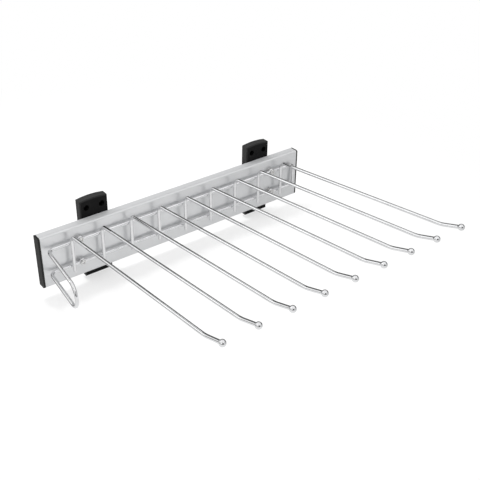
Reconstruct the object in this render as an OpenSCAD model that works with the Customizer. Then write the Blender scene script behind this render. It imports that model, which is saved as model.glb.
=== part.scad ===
// Pull-out trouser rack that mounts on the side panel of a wardrobe.
// A chromed wire frame with nine trouser arms and a finger loop rides on a flat
// aluminium cover, and a full extension ball slide inside the cover carries it
// on two plastic panel brackets.
// +X points away from the side panel and +Z points up. The rack pulls out along -Y.
// The origin lies on the panel, midway between the front bracket's screw holes.

/* [Rail cover] */
// Overall length of the rail with both end caps
rail_l = 460; // [440:5:520]
// Height of the rail cover
rail_h = 80; // [72:1:100]
// Wall of the aluminium cover
cover_wall = 1.8; // [1.4:0.1:2.4]
// Thickness of the screw ribs on the inside of the cover
rib_t = 1.7; // [1.4:0.1:2]
// Radius of the long front edges of the cover
cover_edge_r = 2.5; // [1:0.5:4]
// Height of the return lips along the open back of the cover
cover_lip_h = 7; // [3:1:8]
// Thickness of an end cap's plate
cap_t = 3; // [2:0.5:5]

/* [Panel brackets] */
// Width of a bracket along the rail
bracket_w = 43.5; // [40:0.5:56]
// Thickness of a bracket, from the panel to the slide
bracket_t = 12.5; // [11:0.5:18]
// Height of the screw holes above the top of the rail
hole_above_rail = 14; // [12:1:24]
// Distance between the two screw holes of a bracket
hole_spacing = 24; // [20:1:28]
// Diameter of a screw hole through a bracket
panel_hole_d = 4.6; // [4:0.1:6]
// Diameter of the round recess for a screw head
panel_recess_d = 8.6; // [7:0.1:10]
// Height of a bracket above its screw holes
bracket_head = 13; // [10:1:20]
// Rise of the arched top of a bracket
bracket_arch = 2; // [1:0.5:5]
// Length of a bracket below the rail
bracket_drop = 17; // [8:0.5:30]
// Distance of the front bracket's middle from the rail's front end
front_bracket_inset = 93.5; // [60:0.5:120]
// Distance of the rear bracket's middle from the rail's rear end
rear_bracket_inset = 73; // [50:0.5:120]

/* [Ball slide] */
// Distance of the slide's fixed member from each end of the rail
slide_inset = 10; // [6:1:24]
// Height of the slide
slide_h = 45; // [44:0.5:46]
// Sheet thickness of the slide members
sheet_t = 1.2; // [1:0.1:1.3]
// Diameter of a bearing ball
ball_d = 3; // [2.9:0.05:3.05]
// Distance between neighbouring balls
ball_pitch = 20; // [12:1:21]
// Length of a ball cage
cage_l = 180; // [170:5:200]

/* [Wire frame] */
// Diameter of the chromed wire
wire_d = 5; // [4:0.25:6]
// Distance from the cover's face to the axis of the long wires
loop_standoff = 5; // [4.5:0.5:12]
// Distance between the axes of the upper and lower long wires
loop_sep = 36.5; // [34:0.5:38]
// Height of the wire frame's middle above the middle of the rail
loop_mid_z = 2.75; // [0:0.25:4]
// Radius of the frame's two rear corners, on the wire's axis
loop_corner_r = 8; // [6:0.5:14]
// Distance of the frame's rear end from the rail's rear end
loop_rear_inset = 13; // [6:0.5:20]
// Distance from the cover's face to the outer end of the finger loop
handle_reach = 103; // [60:1:140]
// Angle by which the finger loop leans towards the front
handle_lean = 5; // [0:1:15]
// Radius of the bend from the long wires into the finger loop
handle_bend_r = 9; // [6:0.5:14]
// Distance of the finger loop's root from the rail's front end
handle_inset = 9.5; // [6:0.5:14]

/* [Trouser arms] */
// Distance of the outermost arms from the rail's ends
arm_end_inset = 44; // [38:0.5:50]
// Distance from the cover's face to the middle of an arm's ball tip
arm_reach = 350; // [250:5:420]
// Angle by which an arm rises towards its tip
arm_rise = 6.8; // [2:0.2:10]
// Height of an arm's root above the upper long wire
arm_above_wire = 13.4; // [11:0.2:18]
// Radius of the bend from the post into the arm, on the wire's axis
post_bend_r = 10; // [7:0.5:12]
// Length of a post below the lower long wire
post_tail = 7; // [5:0.5:10]
// Angle of the bend near an arm's tip
tip_bend = 12; // [5:1:25]
// Radius of the bend near an arm's tip, on the wire's axis
tip_bend_r = 60; // [30:5:100]
// Length of the straight wire between that bend and the ball tip
tip_run = 22; // [10:1:40]
// Diameter of a ball tip
tip_ball_d = 8.6; // [7:0.2:12]

/* [Frame fixings] */
// Distance of the fixing screws from the outermost arms
fixing_from_arm = 15; // [11:0.5:20]
// Diameter of a flattened eyelet in the long wires
eyelet_d = 11; // [10:0.5:12]
// Thickness of a flattened eyelet
eyelet_t = 3; // [2:0.25:4]
// Diameter of the fixing screws' thread
screw_d = 4; // [3:0.5:4]
// Diameter of a fixing screw's head
screw_head_d = 8; // [7:0.25:9]
// Height of a fixing screw's head
screw_head_h = 2.6; // [1.6:0.2:3.2]

/* [Hidden] */
$fn = 64;
// Overrun of every cut
cut = 1;
// Clearance of a screw in its tapped hole, on the radius
thread_gap = 0.05;
// Clearance of a screw in a drilled hole, on the radius
drill_gap = 0.15;
// Lap of a bend into the straight wire next to it
bend_lap = 0.2;
// How much thinner a bend is than the straight wire
bend_step = 0.02;
// Clearance between wires that are welded where they cross
weld_gap = 0.05;
// Clearance between the cover and the brackets it passes
cover_gap = 0.5;
// Running clearance between the slide's members
member_gap = 0.4;
// Clearance between a ball and the faces it rolls on
ball_gap = 0.1;
// Clearance of the end caps' plugs in the cover
plug_gap = 0.2;

// Number of trouser arms, each a named piece
arm_count = 9;

// Slide section, as distances from the brackets' front face
outer_depth = 9.5;
middle_back = 3.3;
middle_front = 10.5;
inner_front = 11;
cage_sheet = 0.5;
cage_flange = 0.8;
outer_web_x = middle_back - member_gap;
inner_web_x = middle_back + sheet_t + member_gap + cage_sheet;
outer_cage_front = outer_depth - sheet_t - member_gap;
inner_cage_front = middle_front - sheet_t - member_gap;
inner_back = inner_web_x + member_gap;
outer_r = 2;
middle_r = 1.6;
inner_r = 1.2;
fold_r = 0.4;

// Half heights of the slide's members
race = ball_d + 2 * ball_gap;
outer_half = slide_h / 2;
middle_half = outer_half - sheet_t - race;
inner_half = middle_half - sheet_t - race;

// Rows of balls: their number, their depth and their half heights
balls_in_row = floor(cage_l / ball_pitch);
outer_ball_x = (outer_web_x + outer_cage_front) / 2;
inner_ball_x = (inner_web_x + inner_cage_front) / 2;
outer_ball_half = middle_half + race / 2;
inner_ball_half = inner_half + race / 2;

// Slide lengths along Y
slide_l = rail_l - 2 * slide_inset;
bumper_l = 6.5;
bumper_gap = 0.5;
slide_front = -slide_l / 2;
outer_rear = slide_l / 2;
middle_rear = outer_rear - bumper_l - bumper_gap;
inner_rear = middle_rear - bumper_l - bumper_gap;
cage_mid = -5;

// Small slide screws, and the places of those in the inner member
wafer_h = 0.8;
wafer_d = 8;
pan_h = 1.6;
pan_d = 7;
slide_screw_depth = 8;
inner_screw_depth = 2.8;
inner_screw_inset = 30;
inner_screw_y = slide_l / 2 - inner_screw_inset;
inner_screws = 3;

// Places across the rail, as distances from the panel
cover_back = bracket_t + cover_gap;
rib_face = bracket_t + inner_front;
cover_inside = rib_face + rib_t;
cover_face = cover_inside + cover_wall;
rail_d = cover_face - cover_back;
loop_x = cover_face + loop_standoff;
post_x = loop_x + wire_d + weld_gap;

// Ribs inside the cover
main_rib_w = 20;
wire_rib_w = 8;

// Fine groove along the cover's top and bottom
groove_w = 0.6;
groove_depth = 0.4;
groove_land = 1.1;
groove_inset = cover_edge_r + groove_land;

// End cap plugs
plug_l = 8;
plug_wall = 2;
window_gap = 1;

// Bracket details
bevel = 1.5;
bracket_wall = 2.6;
bracket_rib = 2;
bracket_solid = 9;
recess_depth = 7;
boss_d = 10;
pocket_rows = 3;

// Heights above the middle of the rail
hole_z = rail_h / 2 + hole_above_rail;
bracket_top = hole_z + bracket_head;
bracket_bottom = -rail_h / 2 - bracket_drop;
arch_r = (pow(bracket_w / 2, 2) + pow(bracket_arch, 2)) / (2 * bracket_arch);
upper_wire_z = loop_mid_z + loop_sep / 2;
lower_wire_z = loop_mid_z - loop_sep / 2;
arm_z = upper_wire_z + arm_above_wire;
post_bottom = lower_wire_z - post_tail;

// Places along the rail, from its middle
front_bracket_y = front_bracket_inset - rail_l / 2;
rear_bracket_y = rail_l / 2 - rear_bracket_inset;
cover_l = rail_l - 2 * cap_t;
arm_end_y = rail_l / 2 - arm_end_inset;
arm_pitch = 2 * arm_end_y / (arm_count - 1);
fixing_y = arm_end_y - fixing_from_arm;

// Shift from the middle of the rail to the part's origin
origin_shift = [0, -front_bracket_y, -hole_z];

// Finger loop
handle_turn = 90 - handle_lean;
handle_start = -rail_l / 2 + handle_inset + handle_bend_r * sin(handle_turn);
handle_bend_out = handle_bend_r * (1 - cos(handle_turn));
handle_end_r = loop_sep / 2;
handle_leg = (handle_reach - loop_standoff - handle_bend_out) / sin(handle_turn) - handle_end_r;
loop_rear = rail_l / 2 - loop_rear_inset;

// Trouser arm, in the upright plane that holds it
post_turn = 90 - arm_rise;
post_tangent = post_bend_r * tan(post_turn / 2);
tip_angle = arm_rise + tip_bend;
tip_seat = sqrt(pow(tip_ball_d / 2, 2) - pow(wire_d / 2, 2));
tip_x = cover_face + arm_reach;
tip_bend_x = tip_bend_r * (sin(tip_angle) - sin(arm_rise));
tip_bend_z = tip_bend_r * (cos(arm_rise) - cos(tip_angle));
tip_end_x = (tip_run + tip_seat) * cos(tip_angle);
tip_end_z = (tip_run + tip_seat) * sin(tip_angle);
arm_slope_l = (tip_x - post_x - tip_bend_x - tip_end_x) / cos(arm_rise);
tip_z = arm_z + arm_slope_l * sin(arm_rise) + tip_bend_z + tip_end_z;
arm_run = arm_slope_l - post_tangent;
post_run = arm_z - post_tangent - post_bottom;

// Place of arm number n along the rail, where arm 1 is nearest the front
function arm_y(n) = (n - (arm_count + 1) / 2) * arm_pitch;

// Moves the rail's own frame to the part's origin
module placed() {
    translate(origin_shift) children();
}

// Extrudes an outline in X and Z along the rail, from one place to another
module along_rail(y0, y1) {
    translate([0, y1, 0]) rotate([90, 0, 0]) linear_extrude(y1 - y0) children();
}

// Extrudes an outline in Y and Z away from the panel
module off_panel(depth) {
    rotate([90, 0, 90]) linear_extrude(depth) children();
}

// A rod or bore that points away from the panel
module rod_x(x0, x1, d) {
    translate([x0, 0, 0]) rotate([0, 90, 0]) cylinder(h = x1 - x0, d = d);
}

// A flat outline with round corners, between two places in X and a half height in Z
module round_section(x0, x1, half, r) {
    translate([x0 + r, -half]) square([x1 - x0 - 2 * r, 2 * half]);
    translate([x0, -half + r]) square([x1 - x0, 2 * half - 2 * r]);
    for (x = [x0 + r, x1 - r], z = [-half + r, half - r]) translate([x, z]) circle(r = r);
}

// A stretch of wire along +Z, with what follows it at its end
module wire_run(length) {
    cylinder(h = length, d = wire_d);
    translate([0, 0, length]) children();
}

// A bend of the wire from +Z towards +X, with what follows it at its end.
// It laps into the straight wire on both sides, and is a trace thinner so that the two join cleanly.
module wire_bend(r, angle) {
    lap = bend_lap / r * 180 / PI;
    translate([r, 0, 0]) rotate([90, 0, 0]) rotate([0, 0, 180 - angle - lap])
        rotate_extrude(angle = angle + 2 * lap) translate([r, 0]) circle(d = wire_d - bend_step);
    translate([r - r * cos(angle), 0, r * sin(angle)]) rotate([0, angle, 0]) children();
}

// Turns what follows about the wire's own axis
module turned(angle) {
    rotate([0, 0, angle]) children();
}

// The bracket's outline, seen from the front of its face
module bracket_outline() {
    intersection() {
        translate([-bracket_w / 2, bracket_bottom]) square([bracket_w, bracket_top - bracket_bottom]);
        translate([0, bracket_top - arch_r]) circle(r = arch_r, $fn = 360);
    }
}

// The wedge that bevels an upright edge of the bracket's face
module side_bevel() {
    translate([0, 0, bracket_bottom - cut]) linear_extrude(bracket_top - bracket_bottom + 2 * cut)
        polygon([[bracket_t - bevel, bracket_w / 2], [bracket_t, bracket_w / 2 - bevel],
            [bracket_t + cut, bracket_w / 2 - bevel], [bracket_t + cut, bracket_w / 2 + cut],
            [bracket_t - bevel, bracket_w / 2 + cut]]);
}

// The wedge that bevels the lower edge of the bracket's face
module lower_bevel() {
    along_rail(-bracket_w / 2 - cut, bracket_w / 2 + cut)
        polygon([[bracket_t - bevel, bracket_bottom], [bracket_t, bracket_bottom + bevel],
            [bracket_t + cut, bracket_bottom + bevel], [bracket_t + cut, bracket_bottom - cut],
            [bracket_t - bevel, bracket_bottom - cut]]);
}

// The ring that bevels the arched edge of the bracket's face
module arch_bevel() {
    translate([0, 0, bracket_top - arch_r]) rotate([0, 90, 0]) rotate_extrude($fn = 360)
        polygon([[arch_r, bracket_t - bevel], [arch_r - bevel, bracket_t],
            [arch_r - bevel, bracket_t + cut], [arch_r + cut, bracket_t + cut],
            [arch_r + cut, bracket_t - bevel]]);
}

// The moulding's pockets, open to the panel, with bosses for the slide's screws left in them
module bracket_pockets() {
    z0 = bracket_bottom + bracket_wall;
    z1 = hole_z - bracket_solid;
    pocket_w = (bracket_w - 2 * bracket_wall - bracket_rib) / 2;
    pocket_h = (z1 - z0 - (pocket_rows - 1) * bracket_rib) / pocket_rows;
    difference() {
        for (side = [-1, 1], row = [0 : pocket_rows - 1])
            translate([-cut, side * (bracket_rib + pocket_w) / 2 - pocket_w / 2,
                z0 + row * (pocket_h + bracket_rib)])
                cube([bracket_t - bracket_wall + cut, pocket_w, pocket_h]);
        for (side = [-1, 1]) translate([0, side * hole_spacing / 2, loop_mid_z])
            rod_x(-2 * cut, bracket_t, boss_d);
    }
}

module bracket() {
    color("#2b2b2d") difference() {
        off_panel(bracket_t) bracket_outline();
        side_bevel();
        mirror([0, 1, 0]) side_bevel();
        lower_bevel();
        arch_bevel();
        bracket_pockets();
        for (side = [-1, 1]) translate([0, side * hole_spacing / 2, hole_z]) {
            rod_x(-cut, bracket_t + cut, panel_hole_d);
            rod_x(bracket_t - recess_depth, bracket_t + cut, panel_recess_d);
        }
        for (side = [-1, 1]) translate([0, side * hole_spacing / 2, loop_mid_z])
            rod_x(bracket_t - slide_screw_depth - sheet_t, bracket_t + cut,
                screw_d + 2 * thread_gap);
    }
}

module front_bracket() {
    placed() translate([0, front_bracket_y, 0]) bracket();
}

module rear_bracket() {
    placed() translate([0, rear_bracket_y, 0]) bracket();
}

// Places of the screws that hold the slide on the brackets
module at_bracket_screws() {
    for (y = [front_bracket_y, rear_bracket_y], side = [-1, 1])
        translate([bracket_t, y + side * hole_spacing / 2, loop_mid_z]) children();
}

module bracket_screws() {
    color("#b9bcc0") placed() at_bracket_screws() {
        rod_x(-slide_screw_depth, sheet_t, screw_d);
        difference() {
            rod_x(sheet_t, sheet_t + wafer_h, wafer_d);
            cross_recess(sheet_t + wafer_h, wafer_d, wafer_h);
        }
    }
}

// A cross recess in a screw head whose top faces +X
module cross_recess(top, head_d, head_h) {
    slot_l = head_d / 2;
    slot_w = head_d / 8;
    slot_depth = head_h / 2;
    for (turn = [0, 90]) rotate([turn, 0, 0])
        translate([top - slot_depth, -slot_l / 2, -slot_w / 2]) cube([slot_depth + cut, slot_l, slot_w]);
}

// A rolled channel whose open side faces away from the panel, with lips along its front
module lipped_channel(x0, x1, half, r, mouth) {
    difference() {
        round_section(x0, x1, half, r);
        round_section(x0 + sheet_t, x1 - sheet_t, half - sheet_t, fold_r);
        translate([x1 - sheet_t - fold_r, -mouth]) square([sheet_t + fold_r + cut, 2 * mouth]);
    }
}

module outer_member() {
    color("#c3c7cb") placed() difference() {
        translate([bracket_t, 0, loop_mid_z]) along_rail(slide_front, outer_rear)
            lipped_channel(0, outer_depth, outer_half, outer_r, middle_half + member_gap);
        at_bracket_screws() rod_x(-cut, sheet_t + cut, screw_d + 2 * drill_gap);
        bumper_peg_at(bracket_t, outer_rear, sheet_t + cut, drill_gap);
    }
}

module middle_member() {
    color("#c3c7cb") placed() difference() {
        translate([bracket_t, 0, loop_mid_z]) along_rail(slide_front, middle_rear)
            lipped_channel(middle_back, middle_front, middle_half, middle_r, inner_half + member_gap);
        bumper_peg_at(bracket_t + middle_back, middle_rear, sheet_t + cut, drill_gap);
    }
}

// The channel that carries the cover, open towards the panel
module inner_member() {
    color("#c3c7cb") placed() difference() {
        translate([bracket_t, 0, loop_mid_z]) along_rail(slide_front, inner_rear) difference() {
            round_section(inner_back, inner_front, inner_half, inner_r);
            translate([inner_back - cut, -inner_half + sheet_t])
                square([inner_front - inner_back - sheet_t + cut, 2 * (inner_half - sheet_t)]);
        }
        at_inner_screws() rod_x(-sheet_t - cut, cut, screw_d + 2 * drill_gap);
    }
}

// Places of the screws that hold the cover on the inner member
module at_inner_screws() {
    for (n = [0 : inner_screws - 1])
        translate([rib_face, -inner_screw_y + n * 2 * inner_screw_y / (inner_screws - 1), loop_mid_z])
            children();
}

module inner_member_screws() {
    color("#b9bcc0") placed() at_inner_screws() mirror([1, 0, 0]) {
        rod_x(-inner_screw_depth + thread_gap, sheet_t, screw_d);
        difference() {
            rod_x(sheet_t, sheet_t + pan_h, pan_d);
            cross_recess(sheet_t + pan_h, pan_d, pan_h);
        }
    }
}

// The peg that holds a bumper in a member's web, or its hole
module bumper_peg_at(x, rear, length, gap) {
    translate([0, rear - bumper_l / 2, loop_mid_z]) rod_x(x - cut, x + length, screw_d + 2 * gap);
}

// A stop bumper at the rear end of a member, with a peg in the member's web
module bumper(web_x, rear, height, half) {
    translate([web_x + sheet_t, rear - bumper_l, loop_mid_z - half]) cube([height, bumper_l, 2 * half]);
    translate([0, rear - bumper_l / 2, loop_mid_z]) rod_x(web_x, web_x + sheet_t, screw_d);
}

module outer_bumper() {
    color("#3a3a3c") placed() bumper(bracket_t, outer_rear, middle_back + sheet_t, middle_half - sheet_t);
}

module middle_bumper() {
    color("#3a3a3c") placed() bumper(bracket_t + middle_back, middle_rear, inner_back - sheet_t,
        inner_half - ball_gap);
}

// Places of the balls of one cage, at a depth in the slide and a half height
module at_balls(x, half) {
    for (side = [-1, 1], n = [0 : balls_in_row - 1])
        translate([bracket_t + x, cage_mid + (n - (balls_in_row - 1) / 2) * ball_pitch,
            loop_mid_z + side * half]) children();
}

// A ball cage: a thin channel whose flanges hold the balls in round holes
module ball_cage(web_front, front, half, ball_x) {
    difference() {
        translate([bracket_t, 0, loop_mid_z])
            along_rail(cage_mid - cage_l / 2, cage_mid + cage_l / 2) difference() {
                translate([web_front - cage_sheet, -half - cage_flange / 2])
                    square([front - web_front + cage_sheet, 2 * half + cage_flange]);
                translate([web_front, -half + cage_flange / 2])
                    square([front - web_front + cut, 2 * half - cage_flange]);
            }
        at_balls(ball_x, half) cylinder(h = 2 * cage_flange, d = ball_d + 2 * ball_gap, center = true);
    }
}

module outer_ball_cage() {
    color("#d8d3c4") placed() ball_cage(outer_web_x, outer_cage_front, outer_ball_half, outer_ball_x);
}

module inner_ball_cage() {
    color("#d8d3c4") placed() ball_cage(inner_web_x, inner_cage_front, inner_ball_half, inner_ball_x);
}

module outer_balls() {
    color("#d5d8db") placed() at_balls(outer_ball_x, outer_ball_half) sphere(d = ball_d);
}

module inner_balls() {
    color("#d5d8db") placed() at_balls(inner_ball_x, inner_ball_half) sphere(d = ball_d);
}

// The cover's outer outline, with its two long front edges rounded
module cover_outline() {
    half = rail_h / 2;
    translate([cover_back, -half]) square([rail_d - cover_edge_r, rail_h]);
    translate([cover_back, -half + cover_edge_r]) square([rail_d, rail_h - 2 * cover_edge_r]);
    for (z = [-half + cover_edge_r, half - cover_edge_r])
        translate([cover_face - cover_edge_r, z]) circle(r = cover_edge_r);
}

// The cover's hollow, with the ribs left standing on its front wall
module cover_hollow() {
    half = rail_h / 2 - cover_wall;
    difference() {
        translate([cover_back + cover_wall, -half]) square([rail_d - 2 * cover_wall, 2 * half]);
        translate([rib_face, loop_mid_z - main_rib_w / 2]) square([rib_t + cut, main_rib_w]);
        for (z = [lower_wire_z, upper_wire_z])
            translate([rib_face, z - wire_rib_w / 2]) square([rib_t + cut, wire_rib_w]);
    }
    translate([cover_back - cut, -rail_h / 2 + cover_lip_h])
        square([cover_wall + 2 * cut, rail_h - 2 * cover_lip_h]);
}

module cover_groove() {
    translate([cover_face - groove_inset - groove_w, rail_h / 2 - groove_depth])
        square([groove_w, groove_depth + cut]);
}

// Places of the four screws that hold the wire frame, on the cover's face
module at_fixings() {
    for (y = [-fixing_y, fixing_y], z = [lower_wire_z, upper_wire_z])
        translate([cover_face, y, z]) children();
}

module cover_profile() {
    color("#c8cbcf") placed() difference() {
        along_rail(-cover_l / 2, cover_l / 2) difference() {
            cover_outline();
            cover_hollow();
            cover_groove();
            mirror([0, 1]) cover_groove();
        }
        at_fixings() rod_x(-cover_wall - rib_t - cut, cut, screw_d + 2 * thread_gap);
        at_inner_screws() rod_x(-cut, inner_screw_depth, screw_d + 2 * thread_gap);
    }
}

// The two plugs of an end cap, which fill the cover above and below the slide
module cap_plugs() {
    half = rail_h / 2 - cover_wall - plug_gap;
    slide_top = loop_mid_z + outer_half + window_gap;
    slide_low = loop_mid_z - outer_half - window_gap;
    x0 = cover_back + cover_wall + plug_gap;
    x1 = cover_inside - plug_gap;
    for (z = [[slide_top, half], [-half, slide_low]]) difference() {
        translate([x0, z[0]]) square([x1 - x0, z[1] - z[0]]);
        translate([x0 + plug_wall, z[0] + plug_wall])
            square([x1 - x0 - 2 * plug_wall, z[1] - z[0] - 2 * plug_wall]);
    }
}

// The part of the rear cap that stays open so that it can pass over the slide
module slide_window() {
    slide_low = loop_mid_z - outer_half - window_gap;
    translate([cover_back - cut, slide_low])
        square([bracket_t + middle_front + member_gap - cover_back + cut, slide_h + 2 * window_gap]);
}

module front_end_cap() {
    color("#303033") placed() {
        along_rail(-rail_l / 2, -cover_l / 2) cover_outline();
        along_rail(-cover_l / 2, -cover_l / 2 + plug_l) cap_plugs();
    }
}

module rear_end_cap() {
    color("#303033") placed() {
        along_rail(cover_l / 2, rail_l / 2) difference() {
            cover_outline();
            slide_window();
        }
        along_rail(cover_l / 2 - plug_l, cover_l / 2) cap_plugs();
    }
}

// The frame's closed wire, from its rear upright along the upper wire to the finger loop and back
module frame_loop() {
    long_run = loop_rear - loop_corner_r - handle_start;
    translate([loop_x, loop_rear, lower_wire_z + loop_corner_r])
        wire_run(loop_sep - 2 * loop_corner_r) turned(-90) wire_bend(loop_corner_r, 90)
        wire_run(long_run) turned(90) wire_bend(handle_bend_r, handle_turn)
        wire_run(handle_leg) turned(-90) wire_bend(handle_end_r, 180)
        wire_run(handle_leg) turned(90) wire_bend(handle_bend_r, handle_turn)
        wire_run(long_run) turned(-90) wire_bend(loop_corner_r, 90);
}

// The wire frame, with its wires pressed flat and pierced at the four fixings
module wire_frame() {
    color("#d9dbde") placed() difference() {
        union() {
            difference() {
                frame_loop();
                at_fixings() rod_x(0, loop_standoff + wire_d, eyelet_d);
            }
            at_fixings() rod_x(loop_standoff - eyelet_t / 2, loop_standoff + eyelet_t / 2,
                eyelet_d + bend_step);
        }
        at_fixings() rod_x(0, loop_standoff + wire_d, screw_d + 2 * drill_gap);
    }
}

module frame_spacers() {
    color("#b9bcc0") placed() at_fixings() difference() {
        rod_x(0, loop_standoff - eyelet_t / 2, screw_head_d);
        rod_x(-cut, loop_standoff, screw_d + 2 * drill_gap);
    }
}

module frame_screws() {
    head = loop_standoff + eyelet_t / 2;
    color("#cfd2d6") placed() at_fixings() {
        rod_x(-cover_wall - rib_t + thread_gap, head, screw_d);
        difference() {
            rod_x(head, head + screw_head_h, screw_head_d);
            cross_recess(head + screw_head_h, screw_head_d, screw_head_h);
        }
    }
}

// One arm: an upright post, a sloping run and a tip that turns up
module trouser_arm(n) {
    color("#dfe1e4") placed() translate([post_x, arm_y(n), post_bottom])
        wire_run(post_run) wire_bend(post_bend_r, post_turn) wire_run(arm_run)
            turned(180) wire_bend(tip_bend_r, tip_bend) wire_run(tip_run);
}

// The ball tips, each with a flat seat where the wire's end meets it
module tip_balls() {
    color("#e4e6e8") placed() for (n = [1 : arm_count])
        translate([tip_x, arm_y(n), tip_z]) rotate([0, 90 - tip_angle, 0]) difference() {
            sphere(d = tip_ball_d);
            translate([0, 0, -tip_seat - tip_ball_d]) cylinder(h = tip_ball_d, d = 2 * tip_ball_d);
        }
}

front_bracket();
rear_bracket();
bracket_screws();
outer_member();
outer_bumper();
outer_ball_cage();
outer_balls();
middle_member();
middle_bumper();
inner_ball_cage();
inner_balls();
inner_member();
inner_member_screws();
cover_profile();
front_end_cap();
rear_end_cap();
wire_frame();
frame_spacers();
frame_screws();
trouser_arm(1);  // trouser_arm_1
trouser_arm(2);  // trouser_arm_2
trouser_arm(3);  // trouser_arm_3
trouser_arm(4);  // trouser_arm_4
trouser_arm(5);  // trouser_arm_5
trouser_arm(6);  // trouser_arm_6
trouser_arm(7);  // trouser_arm_7
trouser_arm(8);  // trouser_arm_8
trouser_arm(9);  // trouser_arm_9
tip_balls();
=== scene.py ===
import math

import bmesh
import bpy
from mathutils import Matrix, Vector


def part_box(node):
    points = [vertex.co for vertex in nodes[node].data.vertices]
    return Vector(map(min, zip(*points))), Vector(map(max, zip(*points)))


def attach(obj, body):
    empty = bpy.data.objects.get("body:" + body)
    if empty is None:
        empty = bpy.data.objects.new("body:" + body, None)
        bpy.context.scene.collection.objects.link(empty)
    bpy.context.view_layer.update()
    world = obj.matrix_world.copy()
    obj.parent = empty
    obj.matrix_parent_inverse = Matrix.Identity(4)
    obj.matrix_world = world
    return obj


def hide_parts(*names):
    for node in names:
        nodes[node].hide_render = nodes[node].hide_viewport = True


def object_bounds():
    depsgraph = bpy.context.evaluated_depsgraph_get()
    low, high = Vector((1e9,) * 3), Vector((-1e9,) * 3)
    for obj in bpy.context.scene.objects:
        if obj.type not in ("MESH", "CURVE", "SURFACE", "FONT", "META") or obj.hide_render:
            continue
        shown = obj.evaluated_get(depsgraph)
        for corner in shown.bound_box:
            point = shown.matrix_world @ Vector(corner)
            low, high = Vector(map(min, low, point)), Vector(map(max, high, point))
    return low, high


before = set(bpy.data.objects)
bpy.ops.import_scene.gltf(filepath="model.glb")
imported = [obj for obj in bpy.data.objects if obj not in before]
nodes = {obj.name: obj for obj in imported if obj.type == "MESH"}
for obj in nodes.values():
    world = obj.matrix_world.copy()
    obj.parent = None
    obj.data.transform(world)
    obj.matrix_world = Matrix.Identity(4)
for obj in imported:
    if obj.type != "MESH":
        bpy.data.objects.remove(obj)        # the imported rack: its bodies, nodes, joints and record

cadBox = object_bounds()


# Node trees

class Wire:        # an output socket that can be used in sums
    def __init__(self, sheet, socket):
        self.sheet = sheet
        self.socket = socket

    def maths(self, operation, *values):
        return self.sheet.add("ShaderNodeMath", {"operation": operation}, dict(enumerate(values)))

    def vectorMaths(self, operation, *values):
        return self.sheet.add("ShaderNodeVectorMath", {"operation": operation}, dict(enumerate(values)))

    def __add__(self, other):
        return self.maths("ADD", self, other)

    def __radd__(self, other):
        return self.maths("ADD", other, self)

    def __sub__(self, other):
        return self.maths("SUBTRACT", self, other)

    def __rsub__(self, other):
        return self.maths("SUBTRACT", other, self)

    def __mul__(self, other):
        return self.maths("MULTIPLY", self, other)

    def __rmul__(self, other):
        return self.maths("MULTIPLY", other, self)

    def __truediv__(self, other):
        return self.maths("DIVIDE", self, other)

    def __rtruediv__(self, other):
        return self.maths("DIVIDE", other, self)

    def __neg__(self):
        return self.maths("MULTIPLY", self, -1.0)

    def __abs__(self):
        return self.maths("ABSOLUTE", self)

    def root(self):
        return self.maths("SQRT", self.atLeast(0.0))

    def atLeast(self, other):
        return self.maths("MAXIMUM", self, other)

    def atMost(self, other):
        return self.maths("MINIMUM", self, other)

    def ease(self, low, high, first=0.0, last=1.0):        # a smooth step from low to high
        return self.sheet.add("ShaderNodeMapRange", {"interpolation_type": "SMOOTHSTEP"},
                              {0: self, 1: low, 2: high, 3: first, 4: last})

    def part(self, name):        # another output of the same node
        return Wire(self.sheet, self.socket.node.outputs[name])

    def axis(self, letter):        # X, Y or Z of a vector
        return self.sheet.add("ShaderNodeSeparateXYZ", None, {0: self}).part(letter)

    def towards(self, direction):        # how far a vector points in a direction
        return self.vectorMaths("DOT_PRODUCT", self, direction).part("Value")


class Sheet:        # one node tree that is being drawn
    def __init__(self, tree):
        self.tree = tree

    def add(self, kind, settings=None, inputs=None, output=0):
        node = self.tree.nodes.new(kind)
        for name, value in (settings or {}).items():
            setattr(node, name, value)
        for key, value in (inputs or {}).items():
            if isinstance(value, Wire):
                self.tree.links.new(value.socket, node.inputs[key])
            else:
                node.inputs[key].default_value = value
        return Wire(self, node.outputs[output]) if node.outputs else None


def grey(level, tint=(1.0, 1.0, 1.0)):
    return (level * tint[0], level * tint[1], level * tint[2], 1.0)


# Surface patterns on Object coordinates, in metres

def newSurface(name):
    material = bpy.data.materials.new(name)
    material.use_nodes = True
    material.node_tree.nodes.clear()
    return material, Sheet(material.node_tree)


def objectPlace(sheet, stretch=(1.0, 1.0, 1.0)):
    place = sheet.add("ShaderNodeTexCoord", output="Object")
    return sheet.add("ShaderNodeMapping", {"vector_type": "POINT"}, {"Vector": place, "Scale": stretch})


def facing(sheet, letter):        # how squarely a face looks along an axis, either way
    return abs(sheet.add("ShaderNodeTexCoord", output="Normal").axis(letter))


def cloud(sheet, place, grain):        # grain holds the noise's scale, detail and roughness
    scale, detail, roughness = grain
    return sheet.add("ShaderNodeTexNoise", {"noise_dimensions": "3D"},
                     {"Vector": place, "Scale": scale, "Detail": detail, "Roughness": roughness})


def blendColours(sheet, share, first, second):
    return sheet.add("ShaderNodeMix", {"data_type": "RGBA", "blend_type": "MIX"},
                     {0: share, 6: first, 7: second}, output=2)


def bumps(sheet, height, strength, distance, below=None):
    inputs = {"Height": height, "Strength": strength, "Distance": distance}
    if below is not None:
        inputs["Normal"] = below
    return sheet.add("ShaderNodeBump", None, inputs)


def closeSurface(sheet, sockets):
    shader = sheet.add("ShaderNodeBsdfPrincipled", None, sockets)
    sheet.add("ShaderNodeOutputMaterial", None, {"Surface": shader})


# Finishes: each noise is given as its scale, detail and roughness, each ease as its two limits

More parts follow.
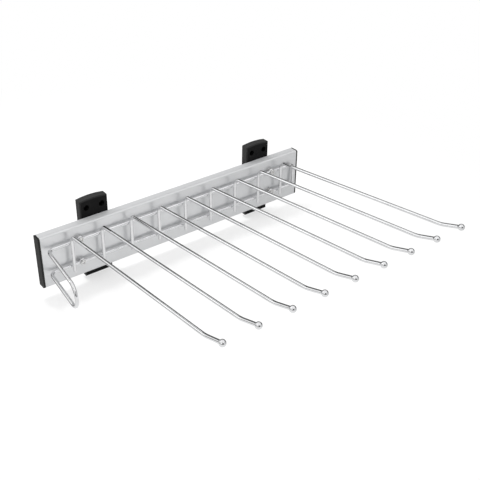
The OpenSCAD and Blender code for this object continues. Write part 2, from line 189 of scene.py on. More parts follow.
def chromePlate(name, look):
    material, sheet = newSurface(name)
    place = objectPlace(sheet)
    haze = cloud(sheet, place, look["haze"])
    ripple = cloud(sheet, place, look["ripple"])
    closeSurface(sheet, {
        "Base Color": blendColours(sheet, haze.ease(*look["tintEase"]), look["clear"], look["hazed"]),
        "Metallic": 1.0,
        "Roughness": look["roughness"] + haze.ease(*look["hazeEase"]) * look["hazeRoughness"],
        "Normal": bumps(sheet, ripple, look["rippleStrength"], look["rippleHeight"]),
    })
    return material


def anodisedMetal(name, look):
    material, sheet = newSurface(name)
    lines = cloud(sheet, objectPlace(sheet, look["brushStretch"]), look["brush"])
    grain = cloud(sheet, objectPlace(sheet), look["grain"])
    drift = cloud(sheet, objectPlace(sheet), look["drift"])
    level = facing(sheet, "Z").ease(*look["levelEase"])
    tint = blendColours(sheet, drift.ease(*look["driftEase"]), look["light"], look["dark"])
    shade = blendColours(sheet, lines.ease(*look["brushEase"]) * look["brushShade"], tint, look["line"])
    rough = look["roughness"] + level * look["levelRoughness"]
    rough = rough + lines * look["brushRoughness"] + drift * look["driftRoughness"]
    fine = bumps(sheet, grain, look["grainStrength"], look["grainHeight"])
    closeSurface(sheet, {
        "Base Color": shade,
        "Metallic": level.ease(0.0, 1.0, look["metal"], look["levelMetal"]),
        "Roughness": rough,
        "Normal": bumps(sheet, lines, look["brushStrength"], look["brushHeight"], fine),
    })
    return material


def mouldedPlastic(name, look):
    material, sheet = newSurface(name)
    place = objectPlace(sheet)
    texture = cloud(sheet, place, look["texture"])
    flow = cloud(sheet, place, look["flow"])
    # painted light: faces that don't look along X, the tops and sides, are painted paler
    side = 1.0 - facing(sheet, "X").ease(*look["sideEase"])
    if look["sideShare"]:        # the painted side light is kept out of the screw holes: both brackets' pairs fold onto one
        middle, half = look["holes"]
        away = abs(abs(place.axis("Y") - middle) - middle) - half
        up = place.axis("Z")
        side = side * (away * away + up * up).root().ease(*look["holeEase"])
    face = blendColours(sheet, flow.ease(*look["wornEase"]), look["deep"], look["worn"])
    closeSurface(sheet, {
        "Base Color": blendColours(sheet, side * look["sideShare"], face, look["side"]),
        "Roughness": look["roughness"] + flow * look["flowRoughness"],
        "Specular IOR Level": look["specular"],
        "Normal": bumps(sheet, texture, look["textureStrength"], look["textureHeight"]),
    })
    return material


chromeLook = {
    "clear": grey(0.78, (0.985, 0.99, 1.0)),
    "hazed": grey(0.73, (0.98, 0.985, 1.0)),
    "haze": (90.0, 4.0, 0.6),
    "tintEase": (0.35, 0.7),
    "hazeEase": (0.45, 0.8),
    "hazeRoughness": 0.05,
    "roughness": 0.035,
    "ripple": (260.0, 2.0, 0.5),
    "rippleStrength": 0.05,
    "rippleHeight": 0.0002,
}
screwLook = dict(chromeLook, clear=grey(0.74), hazed=grey(0.62, (1.0, 0.99, 0.96)), roughness=0.16)
ballLook = dict(chromeLook, clear=grey(0.86), hazed=grey(0.8), roughness=0.07)
coverLook = {
    "light": grey(0.74, (0.978, 0.987, 1.0)),
    "dark": grey(0.72, (0.978, 0.987, 1.0)),
    "line": grey(0.64, (0.985, 0.99, 1.0)),
    "metal": 0.62,
    "levelMetal": 0.25,         # faces that look up or down are duller
    "levelEase": (0.6, 0.9),
    "roughness": 0.26,
    "levelRoughness": 0.17,
    "brush": (1.0, 4.0, 0.65),
    "brushStretch": (900.0, 9.0, 900.0),        # lines along the rail
    "brushEase": (0.3, 0.75),
    "brushShade": 0.14,
    "brushRoughness": 0.05,
    "brushStrength": 0.03,
    "brushHeight": 0.00004,
    "grain": (5200.0, 2.0, 0.6),
    "grainStrength": 0.02,
    "grainHeight": 0.00003,
    "drift": (11.0, 2.0, 0.5),
    "driftEase": (0.3, 0.7),
    "driftRoughness": 0.05,
}
slideLook = dict(coverLook, light=grey(0.66, (0.98, 0.99, 1.0)), dark=grey(0.56, (1.0, 0.99, 0.95)),
                 line=grey(0.48), metal=0.85, levelMetal=0.85, levelRoughness=0.0, roughness=0.22,
                 drift=(38.0, 2.0, 0.5), driftRoughness=0.12)
zincLook = dict(slideLook, brushStretch=(300.0, 300.0, 300.0), brushShade=0.2)
bracketLook = {
    "deep": grey(0.003, (1.0, 1.0, 1.05)),
    "worn": grey(0.006, (1.0, 1.0, 1.04)),
    "wornEase": (0.3, 0.75),
    "side": grey(0.05),         # painted light: faces that look along the panel are painted paler than the front
    "sideShare": 0.85,
    "sideEase": (0.5, 0.9),
    "holes": (0.14675, 0.012),  # half the brackets' spacing, half a pair's spacing
    "holeEase": (0.0046, 0.00506),
    "roughness": 0.42,
    "specular": 0.12,
    "flow": (55.0, 3.0, 0.5),
    "flowRoughness": 0.12,
    "texture": (2600.0, 3.0, 0.6),
    "textureStrength": 0.35,
    "textureHeight": 0.00006,
}
capLook = dict(bracketLook, deep=grey(0.012), worn=grey(0.02), sideShare=0.0, roughness=0.30,
               specular=0.22, textureStrength=0.2)
cageLook = dict(bracketLook, deep=grey(0.62, (1.0, 0.97, 0.88)), worn=grey(0.54, (1.0, 0.96, 0.85)),
                sideShare=0.0, specular=0.45)
rubberLook = dict(bracketLook, deep=grey(0.02), worn=grey(0.035), sideShare=0.0,
                  roughness=0.68, specular=0.35)

finishKinds = {
    "chromedWire": (chromePlate, chromeLook),
    "nickelScrew": (chromePlate, screwLook),
    "bearingSteel": (chromePlate, ballLook),
    "anodisedCover": (anodisedMetal, coverLook),
    "platedSlide": (anodisedMetal, slideLook),
    "zincScrew": (anodisedMetal, zincLook),
    "zincSpacer": (anodisedMetal, zincLook),
    "blackBracket": (mouldedPlastic, bracketLook),
    "blackCap": (mouldedPlastic, capLook),
    "naturalCage": (mouldedPlastic, cageLook),
    "softBumper": (mouldedPlastic, rubberLook),
}
finishes = {name: kind(name, look) for name, (kind, look) in finishKinds.items()}
print("finishes: %d" % len(finishes))


# Meshes

def newPiece(name, data):
    piece = bpy.data.objects.new(name, data)
    bpy.context.scene.collection.objects.link(piece)
    return piece


def pour(shape, mesh):        # writes a bmesh into a mesh
    shape.to_mesh(mesh)
    shape.free()
    return mesh


def settle(piece, name):        # swaps a piece's modifiers for the plain mesh that they give
    bpy.context.view_layer.update()
    graph = bpy.context.evaluated_depsgraph_get()
    mesh = bpy.data.meshes.new_from_object(piece.evaluated_get(graph), depsgraph=graph)
    mesh.name = piece.name
    source = piece.data
    piece.modifiers.clear()
    piece.data = mesh
    piece.name = name
    bpy.data.meshes.remove(source)


def carry(piece, body, slot, *stoodFor):
    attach(piece, body)
    if stoodFor:
        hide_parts(*stoodFor)


# Geometry trees

doublesGap = 1e-7        # swept points closer than this, in metres, are one


def newTree(name, inputs):
    tree = bpy.data.node_groups.new(name, "GeometryNodeTree")
    tree.interface.new_socket("Geometry", in_out="INPUT", socket_type="NodeSocketGeometry")
    for label, kind in inputs.items():
        tree.interface.new_socket(label, in_out="INPUT", socket_type=kind)
    tree.interface.new_socket("Geometry", in_out="OUTPUT", socket_type="NodeSocketGeometry")
    sheet = Sheet(tree)
    return tree, sheet, sheet.add("NodeGroupInput")


def closeTree(sheet, geometry, material):
    whole = sheet.add("GeometryNodeRealizeInstances", None, {"Geometry": geometry})
    smooth = sheet.add("GeometryNodeSetShadeSmooth", None, {"Geometry": whole})
    dressed = sheet.add("GeometryNodeSetMaterial", None, {"Geometry": smooth, "Material": material})
    sheet.add("NodeGroupOutput", None, {0: dressed})


def runTree(piece, tree, values, name):        # leaves one mesh without doubles, facing outwards
    modifier = piece.modifiers.new(tree.name, "NODES")
    modifier.node_group = tree
    identifiers = {item.name: item.identifier for item in tree.interface.items_tree
                   if item.item_type == "SOCKET" and item.in_out == "INPUT"}
    for label, value in values.items():
        modifier[identifiers[label]] = value
    settle(piece, name)
    shape = bmesh.new()
    shape.from_mesh(piece.data)
    bmesh.ops.remove_doubles(shape, verts=shape.verts, dist=doublesGap)
    bmesh.ops.recalc_face_normals(shape, faces=shape.faces)
    pour(shape, piece.data)


def sweptCurve(sheet, start):        # a round wire along the path, as thick as the path says
    thick = sheet.add("GeometryNodeInputNamedAttribute", {"data_type": "FLOAT"}, {"Name": "wireRadius"})
    line = sheet.add("GeometryNodeMeshToCurve", None, {"Mesh": start.part("Geometry")})
    ring = sheet.add("GeometryNodeCurvePrimitiveCircle", None,
                     {"Resolution": start.part("Sides"), "Radius": 1.0})
    return sheet.add("GeometryNodeCurveToMesh", None,
                     {"Curve": line, "Profile Curve": ring, "Scale": thick, "Fill Caps": True})


def armsTree():        # one arm, repeated along the rail
    tree, sheet, start = newTree("bentArms", {
        "Sides": "NodeSocketInt", "Count": "NodeSocketInt", "Pitch": "NodeSocketFloat",
        "Finish": "NodeSocketMaterial"})
    arm = sweptCurve(sheet, start)
    step = sheet.add("ShaderNodeCombineXYZ", None, {"Y": start.part("Pitch")})
    roots = sheet.add("GeometryNodeMeshLine", None, {"Count": start.part("Count"), "Offset": step})
    row = sheet.add("GeometryNodeInstanceOnPoints", None, {"Points": roots, "Instance": arm})
    closeTree(sheet, row, start.part("Finish"))
    return tree


def pressedTree(look):        # the long wires, pressed flat where the screws hold them
    tree, sheet, start = newTree("pressedWires", {
        "Sides": "NodeSocketInt", "Front": "NodeSocketFloat", "Rear": "NodeSocketFloat",
        "Eyelet": "NodeSocketFloat", "Flat": "NodeSocketFloat", "Lead": "NodeSocketFloat",
        "Round": "NodeSocketFloat", "Finish": "NodeSocketMaterial"})
    eyelet, flat, lead, rounding = (start.part(label) for label in ("Eyelet", "Flat", "Lead", "Round"))
    wire = sweptCurve(sheet, start)
    axis = sheet.add("GeometryNodeInputNamedAttribute", {"data_type": "FLOAT_VECTOR"}, {"Name": "wireAxis"})
    offset = axis.vectorMaths("SUBTRACT", sheet.add("GeometryNodeInputPosition"), axis)
    x, y, z = (offset.axis(letter) for letter in "XYZ")
    along = axis.axis("Y")
    away = abs(along - start.part("Front")).atMost(abs(along - start.part("Rear")))
    pressed = 1.0 - away.ease(eyelet - lead * look["leadInside"], eyelet + lead)
    disc = (eyelet * eyelet - away * away).root() / rounding
    swell = disc.maths("SMOOTH_MAX", disc, 1.0, look["swellBlend"])
    limit = rounding + (flat - rounding) * pressed
    squeezed = x.maths("SMOOTH_MIN", x, limit, look["squeezeBlend"])
    squeezed = -squeezed.maths("SMOOTH_MIN", -squeezed, limit, look["squeezeBlend"])
    moved = sheet.add("ShaderNodeCombineXYZ", None,
                      {"X": x + (squeezed - x) * pressed, "Y": y, "Z": z * swell})
    shaped = sheet.add("GeometryNodeSetPosition", None,
                       {"Geometry": wire, "Position": axis.vectorMaths("ADD", axis, moved)})
    closeTree(sheet, shaped, start.part("Finish"))
    return tree


def scatterTree():        # one small part at each point, turned about X by chance
    tree, sheet, start = newTree("smallParts", {
        "Part": "NodeSocketObject", "Turn": "NodeSocketFloat", "Seed": "NodeSocketInt",
        "Finish": "NodeSocketMaterial"})
    part = sheet.add("GeometryNodeObjectInfo", {"transform_space": "ORIGINAL"},
                     {"Object": start.part("Part")}, output="Geometry")
    most = sheet.add("ShaderNodeCombineXYZ", None, {"X": start.part("Turn")})
    turn = sheet.add("FunctionNodeRandomValue", {"data_type": "FLOAT_VECTOR"},
                     {0: (0.0, 0.0, 0.0), 1: most, "Seed": start.part("Seed")})
    parts = sheet.add("GeometryNodeInstanceOnPoints", None,
                      {"Points": start.part("Geometry"), "Instance": part, "Rotation": turn})
    closeTree(sheet, parts, start.part("Finish"))
    return tree


# Paths of bent wire

class WirePath:        # walks along a wire, and notes its points and how thick it is there
    def __init__(self, start, heading, radius):
        self.heading = Vector(heading).normalized()
        self.radius = radius
        self.points = [Vector(start)]
        self.radii = [radius]

    def step(self, point, radius):
        self.points.append(point)
        self.radii.append(radius)

    def straight(self, length, steps=1):
        start = self.points[-1].copy()
        for n in range(1, steps + 1):
            self.step(start + self.heading * length * n / steps, self.radius)

    def bend(self, radius, angle, towards, steps):
        towards = Vector(towards)
        towards = (towards - self.heading * towards.dot(self.heading)).normalized()
        centre = self.points[-1] + towards * radius
        axis = self.heading.cross(towards)
        arm = self.points[-1] - centre
        for n in range(1, steps + 1):
            turn = Matrix.Rotation(math.radians(angle) * n / steps, 3, axis)
            self.step(centre + turn @ arm, self.radius)
        self.heading = turn @ self.heading

    def roundedStart(self, edge, steps):        # eases the cut edge at the wire's first end
        start = self.points[0].copy()
        self.points.clear()
        self.radii.clear()
        for n in range(steps + 1):
            angle = math.pi / 2 * n / steps
            self.step(start + self.heading * edge * (1 - math.cos(angle)),
                      self.radius - edge * (1 - math.sin(angle)))

    def flare(self, centre, radius, fillet, steps):        # widens towards the ball that ends the wire
        reach = self.radius + fillet
        most = math.acos(reach / (radius + fillet))
        neck = (radius + fillet) * math.sin(most)
        for n in range(steps + 1):
            turn = most * n / steps
            self.step(centre + self.heading * (fillet * math.sin(turn) - neck),
                      reach - fillet * math.cos(turn))
        return most

    def ball(self, centre, radius, flared, steps, least):        # its last ring stays open
        first = math.pi / 2 - flared
        for n in range(1, steps + 1):
            turn = first + (math.pi - first) * n / steps
            self.step(centre - self.heading * radius * math.cos(turn), radius * max(math.sin(turn), least))

    def mesh(self, name, closed=False):
        count = len(self.points)
        edges = [(n, n + 1) for n in range(count - 1)] + ([(count - 1, 0)] if closed else [])
        mesh = bpy.data.meshes.new(name)
        mesh.from_pydata(self.points, edges, [])
        mesh.attributes.new("wireRadius", "FLOAT", "POINT").data.foreach_set("value", self.radii)
        flat = [value for point in self.points for value in point]
        mesh.attributes.new("wireAxis", "FLOAT_VECTOR", "POINT").data.foreach_set("vector", flat)
        return mesh


# Places on the rack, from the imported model

frameLow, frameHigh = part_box("wire_frame")
frameMiddle = (frameLow.z + frameHigh.z) / 2
screwLow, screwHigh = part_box("frame_screws")
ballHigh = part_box("tip_balls")[1]
armNodes = sorted(name for name in nodes if name.startswith("trouser_arm_"))
armBoxes = [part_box(name) for name in armNodes]
armPlaces = [(low.y + high.y) / 2 for low, high in armBoxes]
headRadius = 0.004        # of the screws that hold the frame
fixingPlaces = [screwLow.y + headRadius, screwHigh.y - headRadius]
fixingHeights = [screwLow.z + headRadius, screwHigh.z - headRadius]


# The long wires: one closed loop that also forms the finger loop

longWires = {
    "radius": 0.0025,
    "between": 0.0365,          # from the upper wire's axis to the lower one's
    "cornerRadius": 0.008,
    "fingerBendRadius": 0.009,
    "fingerTurn": 85.0,         # a right angle less the loop's lean towards the front
    "sides": 28,
    "bendSteps": 20,
    "eyeletRadius": 0.00551,
    "eyeletHalf": 0.0015,       # half the thickness of the pressed wire
    "eyeletLead": 0.003,        # how far the pressing fades into the round wire
    "eyeletSteps": 46,
    "leadInside": 0.5,          # share of that lead by which the fading starts inside the eyelet
    "swellBlend": 0.25,         # how softly the eyelet's outline meets the wire's
    "squeezeBlend": 0.0006,     # and its flat faces the rounding
}


def makeLongWires(look):
    radius = look["radius"]
    half = look["between"] / 2
    axisX = frameLow.x + radius
    rear = frameHigh.y - radius
    turn = math.radians(look["fingerTurn"])
    outer = frameHigh.x - radius
    bendOut = look["fingerBendRadius"] * (1 - math.cos(turn))
    leg = (outer - axisX - bendOut) / math.sin(turn) - half
    lean = leg * math.cos(turn) + half * math.cos(turn)
    fingerStart = frameLow.y + lean + look["fingerBendRadius"] * math.sin(turn) + radius
    zone = look["eyeletRadius"] + look["eyeletLead"]
    path = WirePath((axisX, rear, frameMiddle - half + look["cornerRadius"]), (0, 0, 1), radius)

    def longRun(places):        # straight, with close rings where the wire is pressed
        for place in places:
            path.straight(abs(place - path.points[-1].y) - zone)
            path.straight(2 * zone, look["eyeletSteps"])

    path.straight(2 * half - 2 * look["cornerRadius"])
    path.bend(look["cornerRadius"], 90, (0, -1, 0), look["bendSteps"])
    longRun(reversed(fixingPlaces))
    path.straight(path.points[-1].y - fingerStart)
    path.bend(look["fingerBendRadius"], look["fingerTurn"], (1, 0, 0), look["bendSteps"])
    path.straight(leg)
    path.bend(half, 180, (0, 0, -1), look["bendSteps"] * 2)
    path.straight(leg)
    path.bend(look["fingerBendRadius"], look["fingerTurn"], (0, 1, 0), look["bendSteps"])
    longRun(fixingPlaces)
    path.straight(rear - look["cornerRadius"] - path.points[-1].y)
    path.bend(look["cornerRadius"], 90, (0, 0, 1), look["bendSteps"])
    path.points.pop()           # the last point is the first one again
    path.radii.pop()
    piece = newPiece("longWirePath", path.mesh("longWirePath", closed=True))
    runTree(piece, pressedTree(look), {
        "Sides": look["sides"], "Front": fixingPlaces[0], "Rear": fixingPlaces[1],
        "Eyelet": look["eyeletRadius"], "Flat": look["eyeletHalf"], "Lead": look["eyeletLead"],
        "Round": radius, "Finish": finishes["chromedWire"]}, "longWires")
    carry(piece, "carriage", "chromed_wire", "wire_frame")


makeLongWires(longWires)
print("long wires: %.0f mm apart" % (longWires["between"] * 1000))


# The trouser arms: nine alike, each a post, a sloping run, an upturned tip and a ball

trouserArm = {
    "radius": 0.0025,
    "rise": 6.8,                # degrees
    "rootBend": 0.010,          # radius of the bend from the post into the arm
    "rootSteps": 24,
    "tipTurn": 12.0,            # degrees
    "tipBend": 0.060,
    "tipRun": 0.022,
    "tipSteps": 12,
    "ballRadius": 0.0043,
    "ballSteps": 24,
    "ballLeast": 0.02,          # the last ring's share of the ball's radius
    "filletRadius": 0.0016,     # between the wire and the ball
    "filletSteps": 8,
    "cutEdge": 0.0007,          # rounding of the cut end below
    "cutSteps": 6,
    "sides": 28,
}


def makeArms(look):
    low = armBoxes[0][0]
    radius = look["radius"]
    ballRadius = look["ballRadius"]
    rise = math.radians(look["rise"])
    tip = rise + math.radians(look["tipTurn"])
    ballCentre = Vector((ballHigh.x - ballRadius, armPlaces[0], ballHigh.z - ballRadius))
    rootX = low.x + radius
    seat = math.sqrt(ballRadius ** 2 - radius ** 2)
    tipBack = Vector((math.cos(tip), 0, math.sin(tip))) * (look["tipRun"] + seat)
    bendBack = Vector((math.sin(tip) - math.sin(rise), 0, math.cos(rise) - math.cos(tip))) * look["tipBend"]
    slopeEnd = ballCentre - tipBack - bendBack
    slopeLength = (slopeEnd.x - rootX) / math.cos(rise)
    corner = slopeEnd.z - slopeLength * math.sin(rise)
    tangent = look["rootBend"] * math.tan((math.pi / 2 - rise) / 2)
    path = WirePath((rootX, armPlaces[0], low.z), (0, 0, 1), radius)
    path.roundedStart(look["cutEdge"], look["cutSteps"])
    path.straight(corner - tangent - low.z - look["cutEdge"])
    path.bend(look["rootBend"], 90 - look["rise"], (1, 0, 0), look["rootSteps"])
    path.straight(slopeLength - tangent)
    path.bend(look["tipBend"], look["tipTurn"], (0, 0, 1), look["tipSteps"])
    flared = path.flare(ballCentre, ballRadius, look["filletRadius"], look["filletSteps"])
    path.ball(ballCentre, ballRadius, flared, look["ballSteps"], look["ballLeast"])
    piece = newPiece("trouserArmPath", path.mesh("trouserArmPath"))
    runTree(piece, armsTree(), {
        "Sides": look["sides"], "Count": len(armPlaces), "Pitch": armPlaces[1] - armPlaces[0],
        "Finish": finishes["chromedWire"]}, "trouserArms")
    carry(piece, "carriage", "chromed_wire", "tip_balls", *armNodes)


makeArms(trouserArm)
print("trouser arms: %d" % len(armPlaces))


# Weld beads where the posts cross the long wires, and the screws that hold the frame

weldBead = {
    "thick": 0.0012,            # half its size along X
    "wide": 0.0024,             # and across
    "sides": 24,
    "rings": 14,
    "seed": 4,
}
frameScrew = {
    "headHeight": 0.0026,
    "shankRadius": 0.002,
    "edge": 0.0009,             # rounding of the head's edge
    "edgeSteps": 6,
    "dome": 0.0005,             # rise of the head's middle
    "slotLength": 0.0021,
    "slotHalf": 0.00055,
    "slotDepth": 0.0015,
    "slotSide": (0.25, 0.5),    # the slope's width and its depth at the outline, as shares of the slot's
    "slotEnd": (0.3, 0.2),
    "sides": 64,
    "rings": 22,
    "seed": 11,
}
smallParts = scatterTree()


def scatter(name, points, part, seed, finish):
    mesh = bpy.data.meshes.new(name)
    mesh.from_pydata(points, [], [])
    piece = newPiece(name + "Places", mesh)
    source = newPiece(name + "Part", part)
    runTree(piece, smallParts, {
        "Part": source, "Turn": math.tau, "Seed": seed, "Finish": finishes[finish]}, name)
    bpy.data.objects.remove(source)
    return piece


def beadMesh(look):
    shape = bmesh.new()
    bmesh.ops.create_uvsphere(shape, u_segments=look["sides"], v_segments=look["rings"], radius=1.0)
    bmesh.ops.scale(shape, vec=(look["thick"], look["wide"], look["wide"]), verts=shape.verts)
    return pour(shape, bpy.data.meshes.new("weldBead"))


def makeWelds(look):
    x = (frameLow.x + 2 * longWires["radius"] + armBoxes[0][0].x) / 2
    heights = (frameMiddle - longWires["between"] / 2, frameMiddle + longWires["between"] / 2)
    points = [(x, y, z) for y in armPlaces for z in heights]
    piece = scatter("weldBeads", points, beadMesh(look), look["seed"], "chromedWire")
    carry(piece, "carriage", "chromed_wire")


def slotDrop(look, y, z):        # depth of the cross recess at a place on the head
    def depth(size, place, wall):
        width, atLine = wall
        return min(max((size - place) / (width * size) + atLine, 0.0), 1.0)

    deepest = 0.0
    for u, v in ((abs(y), abs(z)), (abs(z), abs(y))):
        across = depth(look["slotHalf"], v, look["slotSide"])
        along = depth(look["slotLength"], u, look["slotEnd"])
        deepest = max(deepest, across * along * look["slotDepth"])
    return deepest


def screwMesh(look, shank):        # a pan head with a cross recess, facing +X, on a plain shank
    height, edge, sides = look["headHeight"], look["edge"], look["sides"]
    flatRadius = headRadius - edge
    turns = [math.pi / 2 * n / look["edgeSteps"] for n in range(1, look["edgeSteps"] + 1)]
    profile = [(flatRadius * n / look["rings"], 0.0) for n in range(1, look["rings"] + 1)]
    profile += [(flatRadius + edge * math.sin(turn), edge * (1 - math.cos(turn))) for turn in turns]
    profile += [(headRadius, height), (look["shankRadius"], height)]
    shape = bmesh.new()
    rings = []
    for radius, down in profile:        # from the middle of the head outwards and down
        ring = []
        for n in range(sides):
            turn = math.tau * n / sides
            y, z = radius * math.cos(turn), radius * math.sin(turn)
            rise = look["dome"] * max(0.0, 1 - (radius / headRadius) ** 2)
            lower = slotDrop(look, y, z) if down == 0.0 else 0.0
            x = height - look["dome"] + rise - down - lower if down < height else 0.0
            ring.append(shape.verts.new((x, y, z)))
        rings.append(ring)
    rings.append([shape.verts.new((-shank, v.co.y, v.co.z)) for v in rings[-1]])
    centre = shape.verts.new((height - look["slotDepth"], 0, 0))
    for n in range(sides):
        shape.faces.new((centre, rings[0][n], rings[0][n - 1]))
    for inner, outer in zip(rings, rings[1:]):
        for n in range(sides):
            shape.faces.new((inner[n - 1], inner[n], outer[n], outer[n - 1]))
    shape.faces.new(rings[-1])
    return pour(shape, bpy.data.meshes.new("screw"))


def makeScrews(look):
    seat = screwHigh.x - look["headHeight"]
    points = [(seat, y, z) for y in fixingPlaces for z in fixingHeights]
    part = screwMesh(look, seat - screwLow.x)
    piece = scatter("frameScrews", points, part, look["seed"], "nickelScrew")
    carry(piece, "carriage", "frame_screw_steel", "frame_screws")


makeWelds(weldBead)
makeScrews(frameScrew)
print("weld beads and screws: done")


# Mouldings and the cover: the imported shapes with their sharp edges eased

easing = {
    "doublesGap": 1e-6,         # metres
    "flatAngle": 0.6,           # degrees, below which two faces are joined
    "sharpAngle": 32.0,         # degrees, above which an edge is eased
    "segments": 3,
    "flatWeight": 100,          # how strongly large faces keep their own normals
}
easedParts = [
    {"name": "frontBracket", "node": "front_bracket", "body": "panel_side", "slot": "bracket_plastic",
     "finish": "blackBracket", "width": 0.0005},
    {"name": "rearBracket", "node": "rear_bracket", "body": "panel_side", "slot": "bracket_plastic",
     "finish": "blackBracket", "width": 0.0005},
    {"name": "coverProfile", "node": "cover_profile", "body": "carriage", "slot": "anodised_aluminium",
     "finish": "anodisedCover", "width": 0.0002},
    {"name": "frontEndCap", "node": "front_end_cap", "body": "carriage", "slot": "cap_plastic",
     "finish": "blackCap", "width": 0.0006},
    {"name": "rearEndCap", "node": "rear_end_cap", "body": "carriage", "slot": "cap_plastic",
     "finish": "blackCap", "width": 0.0006},
]


def easeEdges(look, name, node, body, slot, finish, width):
    mesh = nodes[node].data.copy()
    mesh.name = name
    shape = bmesh.new()
    shape.from_mesh(mesh)
    bmesh.ops.remove_doubles(shape, verts=shape.verts, dist=look["doublesGap"])
    bmesh.ops.dissolve_limit(shape, angle_limit=math.radians(look["flatAngle"]),
                             verts=shape.verts, edges=shape.edges)
    pour(shape, mesh)
    mesh.shade_smooth()
    piece = newPiece(name, mesh)
    bevel = piece.modifiers.new("edge", "BEVEL")
    bevel.width = width
    bevel.segments = look["segments"]
    bevel.limit_method = "ANGLE"
    bevel.angle_limit = math.radians(look["sharpAngle"])
    bevel.miter_outer = "MITER_ARC"
    flats = piece.modifiers.new("flats", "WEIGHTED_NORMAL")        # keeps the flat faces flat to the eye
    flats.mode = "FACE_AREA"
    flats.weight = look["flatWeight"]
    settle(piece, name)
    piece.data.materials.clear()
    piece.data.materials.append(finishes[finish])
    carry(piece, body, slot, node)


for part in easedParts:
    easeEdges(easing, **part)
print("eased parts: %d" % len(easedParts))


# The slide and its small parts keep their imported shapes

keptFinishes = {
    "platedSlide": ["outer_member", "middle_member", "inner_member"],
    "zincScrew": ["bracket_screws", "inner_member_screws"],
    "softBumper": ["outer_bumper", "middle_bumper"],
    "naturalCage": ["outer_ball_cage", "inner_ball_cage"],
    "bearingSteel": ["outer_balls", "inner_balls"],
    "zincSpacer": ["frame_spacers"],
}
for finish, names in keptFinishes.items():
    for name in names:
        nodes[name].material_slots[0].material = finishes[finish]
print("slide parts dressed: %d" % sum(len(names) for names in keptFinishes.values()))


# Studio: a floor, a room, three soft lamps, and one for the floor alone that gives the rail's shadow

studio = {
    "floorDrop": 0.006,         # from the lowest bracket to the floor
    "floorSize": 30.0,
    "floorColour": grey(0.90),
    "floorWorn": grey(0.86),
    "floorGrain": (2.0, 2.0, 0.5),
    "grainShare": 0.1,
    "floorGlow": (0.60, 1.0),   # share of plain white that the camera sees, near the rack and far off
    "glowEase": (0.20, 0.80),
    "paintedMirrorFloor": (0.38, 0.98), # painted shade in reflections: how bright mirrors see the floor, behind the rail and in front of it
    "mirrorEase": (-0.04, 0.11),            # where along X the one turns into the other
    "mirrorFade": (0.05, 0.48, 1.0, 0.76),  # and how both fade along the rail
    "farFloor": (0.9, 2.4),     # where mirrors see the floor fade, painted darker far off
    "farGlow": 0.15,
    "roomLight": 0.46,          # what matt surfaces receive from the room
    "mirrorWall": 0.80,         # what mirrors see of the room
    "mirrorCeiling": 0.12,      # and of its ceiling, behind the overhead lamp
    "ceilingEase": (0.70, 0.82),
    "darkWall": 0.09,           # a dark wall beyond the rack as the camera looks, in mirrors only
    "darkSide": (-0.75, 0.66, 0.0),
    "darkSpread": (0.20, 0.33),
    "darkSlope": (-2.0, 0.31, 1.0),         # its upper edge slants
    "darkTop": (2.23, 2.33),
    "frontSide": (0.80, -0.57, 0.20),       # and a smaller one behind the camera
    "frontSpread": (0.76, 0.88),
    "lamps": [
        {"name": "overhead", "place": (0.05, 0.20, 1.6), "aim": (0.10, 0.13, -0.05),
         "size": 3.3, "watts": 33.0},
        {"name": "backLeft", "place": (-1.25, -0.70, 0.60), "aim": (0.15, 0.10, 0.0),
         "size": 1.1, "watts": 3.6},
        {"name": "frontLeft", "place": (1.2, -1.4, 0.8), "aim": (0.1, 0.1, -0.05),
         "size": 1.1, "watts": 3.5},
        {"name": "floorWash", "place": (-0.25, -0.05, 1.2), "aim": (0.04, 0.13, -0.1),
         "size": 0.30, "watts": 8.5, "floorOnly": True},
    ],
}


def makeFloor(look):
    material, sheet = newSurface("paleFloor")
    place = objectPlace(sheet)
    grain = cloud(sheet, place, look["floorGrain"])
    colour = blendColours(sheet, grain * look["grainShare"], look["floorColour"], look["floorWorn"])
    path = sheet.add("ShaderNodeLightPath")
    mirrored = path.part("Is Glossy Ray").atLeast(path.part("Is Transmission Ray"))
    distance = place.vectorMaths("LENGTH", place).part("Value")
    acrossRail = place.axis("X").ease(*look["mirrorEase"], *look["paintedMirrorFloor"])
    alongRail = place.axis("Y").ease(*look["mirrorFade"])
    # painted shade: mirrors see this painted floor level, darker behind the rail and far off, not the
    # floor's real shading
    paintedMirrorLevel = (acrossRail * alongRail).atMost(distance.ease(*look["farFloor"], 1.0, look["farGlow"]))
    seen = distance.ease(*look["glowEase"], *look["floorGlow"])
    share = path.part("Is Camera Ray") * seen + mirrored
    shade = blendColours(sheet, mirrored * (1.0 - paintedMirrorLevel), grey(1.0), grey(0.0))
    matt = sheet.add("ShaderNodeBsdfDiffuse", None, {"Color": colour})
    glow = sheet.add("ShaderNodeEmission", None, {"Color": shade, "Strength": 1.0})
    mix = sheet.add("ShaderNodeMixShader", None, {0: share, 1: matt, 2: glow})
    sheet.add("ShaderNodeOutputMaterial", None, {"Surface": mix})
    shape = bmesh.new()
    bmesh.ops.create_grid(shape, x_segments=1, y_segments=1, size=look["floorSize"] / 2)
    bmesh.ops.translate(shape, vec=(0, 0, cadBox[0][2] - look["floorDrop"]), verts=shape.verts)
    floor = newPiece("floor", pour(shape, bpy.data.meshes.new("floor")))
    floor.data.materials.append(material)
    return floor


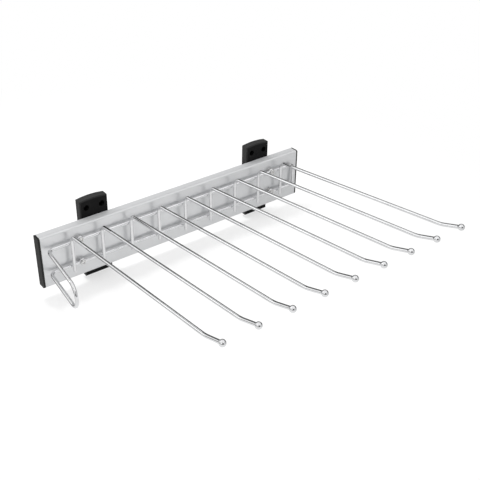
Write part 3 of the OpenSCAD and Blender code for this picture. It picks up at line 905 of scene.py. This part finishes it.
def makeRoom(look):
    world = bpy.data.worlds.new("studioRoom")
    world.use_nodes = True
    world.node_tree.nodes.clear()
    bpy.context.scene.world = world
    sheet = Sheet(world.node_tree)
    ray = sheet.add("ShaderNodeTexCoord", output="Generated")
    behind = ray.towards(look["darkSide"]).ease(*look["darkSpread"])
    below = 1.0 - ray.towards(look["darkSlope"]).ease(*look["darkTop"])
    front = ray.towards(look["frontSide"]).ease(*look["frontSpread"])
    dark = (behind * below).atLeast(front)
    room = blendColours(sheet, ray.axis("Z").ease(*look["ceilingEase"]), grey(look["mirrorWall"]),
                        grey(look["mirrorCeiling"]))
    walls = blendColours(sheet, dark, room, grey(look["darkWall"]))
    path = sheet.add("ShaderNodeLightPath")
    mirrored = blendColours(sheet, path.part("Is Glossy Ray"), grey(look["roomLight"]), walls)
    seen = path.part("Is Camera Ray").atLeast(path.part("Is Transmission Ray"))
    shown = blendColours(sheet, seen, mirrored, grey(1.0))
    background = sheet.add("ShaderNodeBackground", None, {"Color": shown, "Strength": 1.0})
    sheet.add("ShaderNodeOutputWorld", None, {"Surface": background})


def makeLamp(look, floorAlone):
    light = bpy.data.lights.new(look["name"], "AREA")
    light.shape = "SQUARE"
    light.size = look["size"]
    light.energy = look["watts"]
    lamp = newPiece(look["name"], light)
    lamp.location = look["place"]
    aim = Vector(look["aim"]) - Vector(look["place"])
    lamp.rotation_euler = aim.to_track_quat("-Z", "Y").to_euler()
    if look.get("floorOnly"):
        lamp.light_linking.receiver_collection = floorAlone


def makeStudio(look):
    floorAlone = bpy.data.collections.new("floorAlone")
    floorAlone.objects.link(makeFloor(look))
    makeRoom(look)
    for lampLook in look["lamps"]:
        makeLamp(lampLook, floorAlone)


makeStudio(studio)


# Camera

camera = {
    "place": (0.84209, -0.40018, 0.52002),
    "azimuth": 54.658,          # degrees round from the -Y side towards +X
    "elevation": 28.836,
    "roll": -0.516,
    "lens": 56.308,             # millimetres, like the sensor's width
    "sensor": 36.0,
    "shift": (0.075, -0.100),
    "clipStart": 0.01,
}


def makeCamera(look):
    turn, tilt, roll = (math.radians(look[key]) for key in ("azimuth", "elevation", "roll"))
    back = Vector((math.sin(turn) * math.cos(tilt), -math.cos(turn) * math.cos(tilt), math.sin(tilt)))
    level = Vector((math.cos(turn), math.sin(turn), 0))
    upright = back.cross(level)
    right = level * math.cos(roll) + upright * math.sin(roll)
    up = upright * math.cos(roll) - level * math.sin(roll)
    lens = bpy.data.cameras.new("camera")
    lens.lens = look["lens"]
    lens.sensor_width = look["sensor"]
    lens.shift_x, lens.shift_y = look["shift"]
    lens.clip_start = look["clipStart"]
    piece = newPiece("camera", lens)
    piece.matrix_world = Matrix((right, up, back)).transposed().to_4x4()
    piece.location = look["place"]
    bpy.context.scene.camera = piece


makeCamera(camera)
bpy.context.scene.view_settings.view_transform = "Standard"
print("studio and camera: ready")
